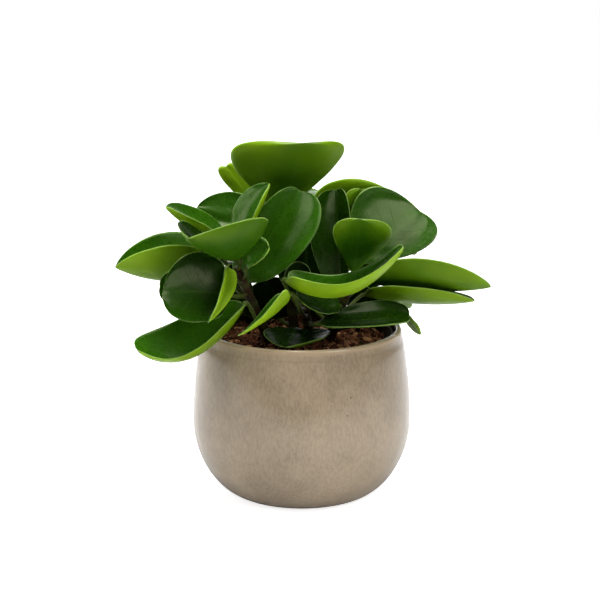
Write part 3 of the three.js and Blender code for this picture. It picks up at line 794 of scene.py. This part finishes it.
def soil_outline():
    """The body of the mix, from the grow pot's floor to a low dome."""
    low, high = SOIL_BOX[0].z, SOIL_BOX[1].z
    top = SOIL_BOX[1].x
    foot, flare = 0.78, 0.22
    outline = [(0.0, low), (top * foot, low)]
    for step in range(1, TAPER_ROWS + 1):
        height = low + (high - DOME - low) * step / TAPER_ROWS
        outline.append((top * (foot + flare * step / TAPER_ROWS), height))
    for step in range(1, SOIL_ROWS):
        share = 1 - step / SOIL_ROWS
        outline.append((top * share, high - DOME * share**2 - BED_DROP))
    return outline + [(0.0, high - BED_DROP)]


# ---- Materials ----


def new_material(name):
    material = bpy.data.materials.new(name)
    material.use_nodes = True
    tree = material.node_tree
    return material, tree, tree.nodes["Principled BSDF"]


def stored(tree, name):
    return result(tree, "ShaderNodeAttribute", answer="Fac", attribute_name=name)


def place_on_piece(tree):
    return result(tree, "ShaderNodeTexCoord", answer="Object")


def masked(group, place, **values):
    """Places a mask group in a material with its own values."""
    inputs = {"Place": place} | {key.replace("_", " ").title(): value for key, value in values.items()}
    return result(place.tree, "ShaderNodeGroup", inputs, "Mask", node_tree=group)


def mask_group(name, values):
    """A shader group that gives a mask for a place, and is built only once."""
    found = bpy.data.node_groups.get(name)
    if found:
        return found, None, None
    inputs = vectors("Place") + numbers(values)
    return new_tree(name, "ShaderNodeTree", inputs, [("Mask", "NodeSocketFloat")])


def mottle_group():
    """Uneven cloudy patches: a mask from 0 to 1."""
    tree, given, output = mask_group("Mottle", {"Scale": 40.0, "Sharpness": 0.2})
    if given:
        broad = noise_at(given["Place"], given["Scale"], 4.0)
        fine = noise_at(given["Place"], given["Scale"] * 3.7, 2.0)
        both = broad * 0.7 + fine * 0.3
        mask = smooth(both, given["Sharpness"] * 0.5 + 0.25, 0.75 - given["Sharpness"] * 0.5)
        put(tree, output.inputs["Mask"], mask)
    return tree


def speck_group():
    """Small separate dots: a mask that is 1 inside a dot."""
    tree, given, output = mask_group("Specks", {"Scale": 600.0, "Dot Size": 0.3, "Share": 0.4})
    if given:
        cells = node(tree, "ShaderNodeTexVoronoi", {"Vector": given["Place"], "Scale": given["Scale"]})
        dot_size = given["Dot Size"]
        near = 1.0 - smooth(Field(tree, cells.outputs["Distance"]), dot_size * 0.4, dot_size)
        chosen, _, _ = parts(Field(tree, cells.outputs["Color"]))
        put(tree, output.inputs["Mask"], near * scalar("LESS_THAN", chosen, given["Share"]))
    return tree


def bumped(tree, height, distance):
    """The normal of a surface with this relief."""
    return result(tree, "ShaderNodeBump", {"Height": height, "Distance": distance, "Strength": 1.0})


def glaze_material(look):
    """Taupe stoneware glaze: cloudy tone, soft drips, dark iron specks, ochre lip and a bare foot line."""
    material, tree, shader = new_material("Stoneware glaze")
    place = place_on_piece(tree)
    _, _, height = parts(place)
    cloud = masked(mottle_group(), place, scale=16.0, sharpness=0.3)
    drip = masked(mottle_group(), place * (1.0, 1.0, 0.14), scale=150.0, sharpness=0.5)
    grit = masked(mottle_group(), place * (1.0, 1.0, 0.4), scale=640.0, sharpness=0.7)
    specks = masked(speck_group(), place, scale=950.0, dot_size=0.5, share=0.3)
    pinholes = masked(speck_group(), place, scale=75.0, dot_size=0.07, share=0.4)
    colour = mixed(look.glaze_dark, look.glaze_light, cloud * 0.4 + drip * 0.25 + grit * 0.35)
    colour = mixed(colour, look.speck, specks * 0.2 + pinholes * 0.6)
    edge = noise_at(place * (1.0, 1.0, 0.2), 45.0, 3.0)
    lip = smooth(height + (edge - 0.5) * 0.0016, look.height - 0.0045, look.height - 0.0018)
    colour = mixed(colour, look.lip, lip * 0.75)
    groove = 1.0 - smooth(size(height - (look.height - 0.0072)), 0.0002, 0.0012)
    colour = mixed(colour, look.glaze_dark, groove * edge * 0.7)
    foot = 1.0 - smooth(height + (edge - 0.5) * 0.0008, 0.001, 0.0024)
    ripple = noise_at(place, 55.0, 2.0) * 0.8 + drip * 0.12 + grit * 0.05 - pinholes * 0.3
    surface = {
        "Base Color": mixed(colour, look.bare_clay, foot * 0.85),
        "Roughness": 0.34 + grit * 0.12 + foot * 0.3,
        "Specular IOR Level": 0.2,
        "Coat Weight": 0.9 - foot * 0.85,
        "Coat Roughness": 0.13,
        "Coat IOR": 1.5,
        "Normal": bumped(tree, ripple, 0.0006),
    }
    fill(tree, shader, surface)
    return material


def plastic_material(look):
    """Matt black nursery plastic, dusty with dried mix."""
    material, tree, shader = new_material("Nursery plastic")
    place = place_on_piece(tree)
    dust = masked(mottle_group(), place, scale=90.0, sharpness=0.6)
    surface = {
        "Base Color": mixed(look.plastic, look.dust, dust * 0.3),
        "Roughness": 0.45 + dust * 0.3,
        "Normal": bumped(tree, noise_at(place, 900.0), 0.0001),
    }
    fill(tree, shader, surface)
    return material


def bark_material(name, dark, middle, light):
    """Splintered bark: each chip has its own tone from near black to orange tan."""
    material, tree, shader = new_material(name)
    grain = noise_at(place_on_piece(tree) * (1.0, 0.35, 1.0), 900.0, 3.0)
    shade = stored(tree, "tone") * 0.75 + grain * 0.35
    colour = mixed(dark, middle, smooth(shade, 0.12, 0.6))
    surface = {
        "Base Color": mixed(colour, light, smooth(shade, 0.62, 1.0)),
        "Roughness": 0.75 + grain * 0.2,
        "Specular IOR Level": 0.12,
        "Normal": bumped(tree, grain, 0.0004),
    }
    fill(tree, shader, surface)
    return material


def stem_material(look):
    """Fleshy stem: dark green with a red-brown flush and paler joints."""
    material, tree, shader = new_material("Peperomia stem")
    place = place_on_piece(tree)
    flush = masked(mottle_group(), place, scale=110.0, sharpness=0.3)
    specks = masked(speck_group(), place, scale=700.0, dot_size=0.4, share=0.35)
    colour = mixed(look.stem, look.stem_flush, flush * 0.8 + 0.15)
    colour = mixed(colour, look.petiole, stored(tree, "joint") * 0.4)
    surface = {
        "Base Color": mixed(colour, look.stem_flush, specks * 0.5),
        "Roughness": 0.5 + flush * 0.15,
        "Specular IOR Level": 0.12,
        "Normal": bumped(tree, noise_at(place * (1.0, 1.0, 0.25), 500.0), 0.0003),
    }
    fill(tree, shader, surface)
    return material


def vein_mask(along, side):
    """Thin arching lines from the midrib, where side is 0, to the margin, where it is 1."""
    veins = 6.5
    sweep = along - side * 0.42 + side**2.0 * 0.1
    beat = cosine(sweep * (2 * math.pi * veins)) * 0.5 + 0.5
    vein = smooth(beat, 0.93, 1.0) * smooth(along, 0.02, 0.12) * (1.0 - smooth(along, 0.8, 0.95))
    return vein * smooth(side, 0.05, 0.15) * (1.0 - smooth(side, 0.75, 0.95))


def leaf_material(look):
    """Thick glossy leaf: deep green above, lime below, pale rim, faint arching veins, pale petiole; painted
    shade on the inner leaves and painted light towards margins and tips.
    """
    material, tree, shader = new_material("Peperomia leaf")
    place = place_on_piece(tree)
    names = ("along", "across", "facing", "rim", "tone")
    along, across, facing, rim, tone = (stored(tree, name) for name in names)
    side = size(across)
    upper = smooth(facing, -0.2, 0.2)
    # Where tone is low, the upper side takes a near-black painted shade and less sheen.
    unshaded = smooth(tone, 0.0, 0.3)
    patch = smooth(noise_at(place, 55.0, 1.0), 0.3, 0.7)
    fine = masked(mottle_group(), place, scale=420.0, sharpness=0.2)
    # Painted light and shade: lighter towards the margin and the tip, darker by the base and the midrib, on
    # both sides.
    outer = smooth(side, 0.2, 1.0) * 0.5 + smooth(along, 0.3, 1.0) * 0.5
    light = tone * 0.7 + patch * 0.3 + outer * 0.35 - 0.15
    above = mixed(look.painted_shade, mixed(look.upper_dark, look.upper_light, light), unshaded)
    lime = tone * 0.75 + outer * 0.55 + (patch - 0.5) * 0.08 - 0.2
    colour = mixed(mixed(look.under_dark, look.under_light, lime), above, upper)

    vein = vein_mask(along, side)
    rib = (1.0 - smooth(side, 0.015, 0.07)) * smooth(along, -0.05, 0.1) * (1.0 - smooth(along, 0.6, 0.95))
    colour = mixed(colour, look.vein, vein * 0.03 + rib * 0.08)
    pale = 1.0 - smooth(rim, 0.0001, 0.0007)
    colour = mixed(colour, look.margin, pale * 0.35)
    reddish = (1.0 - smooth(along, -1.0, -0.45)) * 0.7 + patch * 0.1
    petiole = mixed(look.petiole, look.stem_flush, reddish)
    surface = {
        "Base Color": mixed(colour, petiole, 1.0 - smooth(along, -0.12, 0.1)),
        "Roughness": 0.36 - upper * 0.1 + fine * 0.06,
        "Specular IOR Level": 0.24 + upper * (unshaded * 0.46 - 0.19),
        "Specular Tint": look.sheen,
        "IOR": 1.4,
        "Subsurface Weight": 0.2,
        "Subsurface Radius": (0.7, 1.0, 0.15),
        "Subsurface Scale": 0.003,
        "Normal": bumped(tree, patch * 0.35 + fine * 0.015 - vein * 0.07, 0.0005),
    }
    fill(tree, shader, surface)
    return material


# ---- Settings ----


def span(label, about, default):
    """A length in metres."""
    return FloatProperty(name=label, description=about, default=default, min=0.0, unit="LENGTH", precision=4)


def share(label, about, default, top=1.0):
    """A plain number from 0 up to a top."""
    return FloatProperty(name=label, description=about, default=default, min=0.0, max=top)


def tint(label, about, default):
    return FloatVectorProperty(
        name=label, description=about, default=default, size=3, min=0.0, max=1.0, subtype="COLOR"
    )


class PotSettings(bpy.types.PropertyGroup):
    height: span("Height", "Height of the glazed pot", POT_BOX[1].z)
    belly_radius: span("Belly Radius", "Outside radius at the widest place", POT_BOX[1].x)
    belly_height: span("Belly Height", "Height of the widest place", 0.05)
    rim_radius: span("Rim Radius", "Outside radius at the lip", 0.068)
    foot_radius: span("Foot Radius", "Radius of the flat foot", 0.043)
    wall: span("Wall", "Thickness of the stoneware", 0.004)
    floor: span("Floor", "Thickness of the pot's floor", 0.008)
    lip_groove: span("Lip Groove", "Depth of the soft groove under the lip", 0.0006)
    wobble: span("Throwing Wobble", "How far the wall wanders from a true circle", 0.0004)
    glaze_light: tint("Glaze Light", "Lighter tone of the glaze", (0.43, 0.333, 0.222))
    glaze_dark: tint("Glaze Dark", "Darker tone of the glaze", (0.265, 0.201, 0.13))
    lip: tint("Lip", "Ochre where the glaze breaks over the lip", (0.46, 0.34, 0.21))
    speck: tint("Iron Specks", "Colour of the fine iron specks", (0.075, 0.05, 0.028))
    bare_clay: tint("Bare Clay", "Unglazed line round the foot", (0.42, 0.2, 0.09))


class GrowPotSettings(bpy.types.PropertyGroup):
    foot_radius: span("Foot Radius", "Radius of the grow pot's floor", 0.047)
    wall: span("Wall", "Thickness of the plastic", 0.0012)
    plastic: tint("Plastic", "Colour of the plastic", (0.012, 0.011, 0.01))
    dust: tint("Dust", "Dry mix that clings to the plastic", (0.06, 0.04, 0.025))


class BarkSettings(bpy.types.PropertyGroup):
    chips: IntProperty(name="Chips", description="Bark chips on each square metre", default=44000, min=0)
    chip_length: span("Chip Length", "Half the length of the longest chips", 0.0075)
    fibres: IntProperty(name="Fibres", description="Fibres on each square metre", default=64000, min=0)
    fibre_length: span("Fibre Length", "Bend radius of the longest fibres", 0.006)
    dark: tint("Dark", "Wet, dark bark", (0.012, 0.006, 0.003))
    middle: tint("Middle", "Red-brown bark", (0.11, 0.034, 0.013))
    light: tint("Light", "Fresh splinters", (0.52, 0.26, 0.115))


class PlantSettings(bpy.types.PropertyGroup):
    stem_foot: span("Stem Foot Radius", "Radius of a stem at the mix", 0.0036)
    stem_top: span("Stem Top Radius", "Radius of a stem at its tip", 0.0026)
    petiole_radius: span("Petiole Radius", "Radius of a leaf's stalk", 0.0015)
    thickness: span("Leaf Thickness", "Thickness of a leaf blade", 0.0012)
    ripple: span("Ripple", "How far a leaf's surface waves", 0.0012)
    fold_softness: share("Fold Softness", "How round the fold along the midrib is", 0.14)
    upper_dark: tint("Upper Dark", "Darker tone of the upper side", (0.013, 0.052, 0.0006))
    upper_light: tint("Upper Light", "Lighter tone of the upper side", (0.026, 0.11, 0.001))
    # Painted shade: the near-black green that the upper side of the leaves inside the plant takes.
    painted_shade: tint("Shaded", "Upper side of the old leaves inside the plant", (0.004, 0.014, 0.0005))
    under_dark: tint("Under Dark", "Deep olive underside", (0.028, 0.1, 0.001))
    under_light: tint("Under Light", "Lime underside", (0.25, 0.42, 0.006))
    vein: tint("Veins", "Midrib and side veins", (0.14, 0.27, 0.05))
    margin: tint("Margin", "Pale line round each leaf", (0.34, 0.5, 0.16))
    petiole: tint("Petiole", "Stalk of a leaf near its blade", (0.06, 0.09, 0.015))
    stem: tint("Stem", "Green of the stems", (0.014, 0.015, 0.004))
    stem_flush: tint("Stem Flush", "Red-brown flush of the stems", (0.028, 0.009, 0.004))
    sheen: tint("Sheen", "Tint of what the leaves mirror", (0.95, 1.0, 0.62))


class StageSettings(bpy.types.PropertyGroup):
    ambient: share("Ambient", "Even light from all round", 0.03, 10.0)
    top: share("Top Light", "Brightness of the large panel above", 9.0, 50.0)
    back: share("Back Light", "Brightness of the panel behind", 1.8, 50.0)
    left: share("Left Light", "Brightness of the soft box on the left", 3.8, 50.0)
    right: share("Right Light", "Brightness of the soft box on the right", 5.0, 50.0)
    floor: tint("Floor", "Colour of the floor", (0.8, 0.8, 0.8))
    floor_glow: share("Floor Glow", "Light that the floor shows, so that it stays white", 0.8, 10.0)
    lens: FloatProperty(name="Lens", description="Focal length in millimetres", default=105.6, min=1.0)


# ---- Operators ----


def belongs(piece, nodes):
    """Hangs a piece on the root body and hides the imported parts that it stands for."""
    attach(piece, "root")
    if nodes:
        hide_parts(*nodes)


class PEPEROMIA_OT_pot(bpy.types.Operator):
    """Adds the glazed stoneware pot"""

    bl_idname = "peperomia.add_pot"
    bl_label = "Glazed Pot"

    def execute(self, context):
        sizes = context.scene.peperomia_pot
        piece = turned("glazed_pot", pot_outline(sizes), glaze_material(sizes), sizes.wobble)
        belongs(piece, ["pot"])
        return {"FINISHED"}


class PEPEROMIA_OT_grow_pot(bpy.types.Operator):
    """Adds the plastic grow pot that stands inside the glazed pot"""

    bl_idname = "peperomia.add_grow_pot"
    bl_label = "Grow Pot"

    def execute(self, context):
        sizes = context.scene.peperomia_grow_pot
        piece = turned("plastic_pot", grow_pot_outline(sizes), plastic_material(sizes))
        belongs(piece, ["grow_pot"])
        return {"FINISHED"}


def mix_surface(name):
    """The ground that chips and fibres lie on: the dome of the mix."""
    high = SOIL_BOX[1].z + 0.6 * MM
    radius = SOIL_BOX[1].x - 2.5 * MM
    rise = 2 * MM
    sides, rings = 48, 8
    points = [(0.0, 0.0, high)]
    for ring in range(1, rings + 1):
        share = ring / rings
        far = radius * share
        for side in range(sides):
            angle = 2 * math.pi * side / sides
            points.append((far * math.cos(angle), far * math.sin(angle), high - rise * share**2))
    faces = []
    for side in range(sides):
        after = (side + 1) % sides
        faces.append((0, 1 + side, 1 + after))
        for ring in range(rings - 1):
            low, top = 1 + ring * sides, 1 + (ring + 1) * sides
            faces.append((low + side, top + side, top + after, low + after))
    mesh = bpy.data.meshes.new(name)
    mesh.from_pydata(points, [], faces)
    return mesh


class PEPEROMIA_OT_bark_mix(bpy.types.Operator):
    """Adds the potting mix with its bark chips and coir fibres"""

    bl_idname = "peperomia.add_bark_mix"
    bl_label = "Bark Mix"

    def execute(self, context):
        look = context.scene.peperomia_bark
        bed_finish = bark_material("Potting mix", look.dark, look.middle, look.middle)
        belongs(turned("mix_bed", soil_outline(), bed_finish), ["potting_mix"])
        chips = {
            "Count": float(look.chips),
            "Length": look.chip_length,
            "Width": look.chip_length * 0.36,
            "Thickness": look.chip_length * 0.24,
            "Roughness": 0.0012,
            "Material": bark_material("Bark chips", look.dark, look.middle, look.light),
        }
        belongs(grown("bark_chips", bark_tree(), chips, mix_surface("bark_ground")), [])
        fibres = {
            "Count": float(look.fibres),
            "Length": look.fibre_length,
            "Width": look.fibre_length,
            "Thickness": look.fibre_length * 0.7,
            "Roughness": 0.0,
            "Material": bark_material("Coir fibres", look.middle, look.light, look.light),
        }
        belongs(grown("coir_fibres", fibre_tree(), fibres, mix_surface("fibre_ground")), [])
        return {"FINISHED"}


class PEPEROMIA_OT_stems(bpy.types.Operator):
    """Adds the stems that carry the leaves"""

    bl_idname = "peperomia.add_stems"
    bl_label = "Stems"

    def execute(self, context):
        look = context.scene.peperomia_plant
        tree = stem_tree()
        finish = stem_material(look)
        for name, (foot, _, top) in STEMS.items():
            values = {
                "Foot": Vector(foot) * MM,
                "Bend": stem_middle(name) * MM,
                "Top": Vector(top) * MM,
                "Foot Radius": look.stem_foot,
                "Top Radius": look.stem_top,
                "Joints": float(round((top[2] - foot[2]) / JOINT_SPACING)),
                "Material": finish,
            }
            belongs(grown(f"{name}_stem", tree, values), [f"stem_{name}"])
        return {"FINISHED"}


class PEPEROMIA_OT_leaves(bpy.types.Operator):
    """Adds every leaf with its petiole"""

    bl_idname = "peperomia.add_leaves"
    bl_label = "Leaves"

    def execute(self, context):
        look = context.scene.peperomia_plant
        tree = leaf_tree()
        finish = leaf_material(look)
        for number, (name, leaf) in enumerate(LEAVES.items()):
            points = {key.title(): getattr(leaf, key) for key in ("base", "tip", "left", "right", "bow")}
            points |= zip(("Foot", "Foot Handle", "Base Handle"), petiole_curve(leaf))
            values = {label: Vector(point) * MM for label, point in points.items()} | {
                "Round Base": leaf.round[0],
                "Round Tip": leaf.round[1],
                "Cup": leaf.cup,
                "Fold Fade": leaf.fade,
                "Fold Softness": look.fold_softness,
                "Thickness": look.thickness,
                "Petiole Radius": look.petiole_radius,
                "Ripple": look.ripple,
                "Ripple Seed": number * RIPPLE_STEP,
                "Tone": leaf.tone,
                "Material": finish,
            }
            belongs(grown(f"{name}_leaf", tree, values), [f"leaf_{name}"])
        return {"FINISHED"}


WHITE = (1.0, 1.0, 1.0)


def seen_directly(tree):
    """1 for what the camera sees straight on, and 0 for the light that falls on the object."""
    return result(tree, "ShaderNodeLightPath", answer="Is Camera Ray")


def panel_light(name, brightness, width, height, place, target):
    """A soft rectangular light of an even brightness that faces a target."""
    light = bpy.data.lights.new(name, "AREA")
    light.shape = "RECTANGLE"
    light.size = width
    light.size_y = height
    light.energy = brightness * math.pi * width * height
    aim(placed(name, light), place, target)


def aim(piece, place, target):
    """Puts a light or camera at a place and turns it to a target."""
    piece.location = place
    piece.rotation_euler = (Vector(target) - Vector(place)).to_track_quat("-Z", "Y").to_euler()


def add_floor(look):
    mesh = bpy.data.meshes.new("floor")
    reach, front = 1.8, -0.55
    corners = [(-reach, front, 0.0), (reach, front, 0.0), (reach, reach, 0.0), (-reach, reach, 0.0)]
    mesh.from_pydata(corners, [], [(0, 1, 2, 3)])
    material, tree, shader = new_material("White floor")
    surface = {
        "Base Color": look.floor,
        "Roughness": 0.9,
        "Emission Color": WHITE,
        "Emission Strength": seen_directly(tree) * look.floor_glow,
    }
    fill(tree, shader, surface)
    mesh.materials.append(material)
    placed("floor", mesh)


def add_world(look):
    """White behind everything, and a dimmer even light on the object."""
    world = bpy.data.worlds.new("Studio")
    world.use_nodes = True
    tree = world.node_tree
    glow = {"Color": WHITE, "Strength": mixed(look.ambient, 1.0, seen_directly(tree))}
    fill(tree, tree.nodes["Background"], glow)
    bpy.context.scene.world = world


class PEPEROMIA_OT_stage(bpy.types.Operator):
    """Adds the floor, the soft lights and the camera"""

    bl_idname = "peperomia.add_stage"
    bl_label = "Stage"

    def execute(self, context):
        look = context.scene.peperomia_stage
        scene = context.scene
        centre = (0.0, 0.0, 0.12)
        # Each panel's width, height, place and target, in metres.
        panel_light("top_light", look.top, 1.2, 1.2, (-0.1, 0.1, 1.6), centre)
        panel_light("back_light", look.back, 3.2, 1.1, (0.0, 1.9, 0.55), centre)
        panel_light("left_light", look.left, 0.7, 0.85, (-1.26, -0.5, 0.97), centre)
        panel_light("right_light", look.right, 0.75, 1.1, (0.87, -0.97, 1.0), centre)
        add_floor(look)
        add_world(look)
        scene.view_settings.view_transform = "Standard"
        camera = placed("camera", bpy.data.cameras.new("camera"))
        camera.data.lens = look.lens
        camera.data.sensor_width = 36.0
        aim(camera, (-0.0012, -1.1683, 0.4080), (-0.0012, 0.0, 0.134))
        scene.camera = camera
        return {"FINISHED"}


SETTINGS = {
    "peperomia_pot": PotSettings,
    "peperomia_grow_pot": GrowPotSettings,
    "peperomia_bark": BarkSettings,
    "peperomia_plant": PlantSettings,
    "peperomia_stage": StageSettings,
}
OPERATORS = (
    PEPEROMIA_OT_stage,
    PEPEROMIA_OT_pot,
    PEPEROMIA_OT_grow_pot,
    PEPEROMIA_OT_bark_mix,
    PEPEROMIA_OT_stems,
    PEPEROMIA_OT_leaves,
)


class PEPEROMIA_PT_panel(bpy.types.Panel):
    """Lists the pieces of the potted peperomia and their sizes"""

    bl_idname = "PEPEROMIA_PT_panel"
    bl_label = "Potted Peperomia"
    bl_space_type = "VIEW_3D"
    bl_region_type = "UI"
    bl_category = "Peperomia"

    def draw(self, context):
        for operator in OPERATORS:
            self.layout.operator(operator.bl_idname)
        for key, group in SETTINGS.items():
            box = self.layout.box()
            box.label(text=group.__name__)
            for name in group.__annotations__:
                box.prop(getattr(context.scene, key), name)


CLASSES = (*SETTINGS.values(), *OPERATORS, PEPEROMIA_PT_panel)


def register():
    for made in CLASSES:
        bpy.utils.register_class(made)
    for key, group in SETTINGS.items():
        setattr(bpy.types.Scene, key, PointerProperty(type=group))


def unregister():
    for key in SETTINGS:
        delattr(bpy.types.Scene, key)
    for made in reversed(CLASSES):
        bpy.utils.unregister_class(made)


def main():
    register()
    bpy.ops.peperomia.add_stage()
    bpy.ops.peperomia.add_pot()
    bpy.ops.peperomia.add_grow_pot()
    bpy.ops.peperomia.add_bark_mix()
    bpy.ops.peperomia.add_stems()
    bpy.ops.peperomia.add_leaves()


if __name__ == "__main__":
    main()
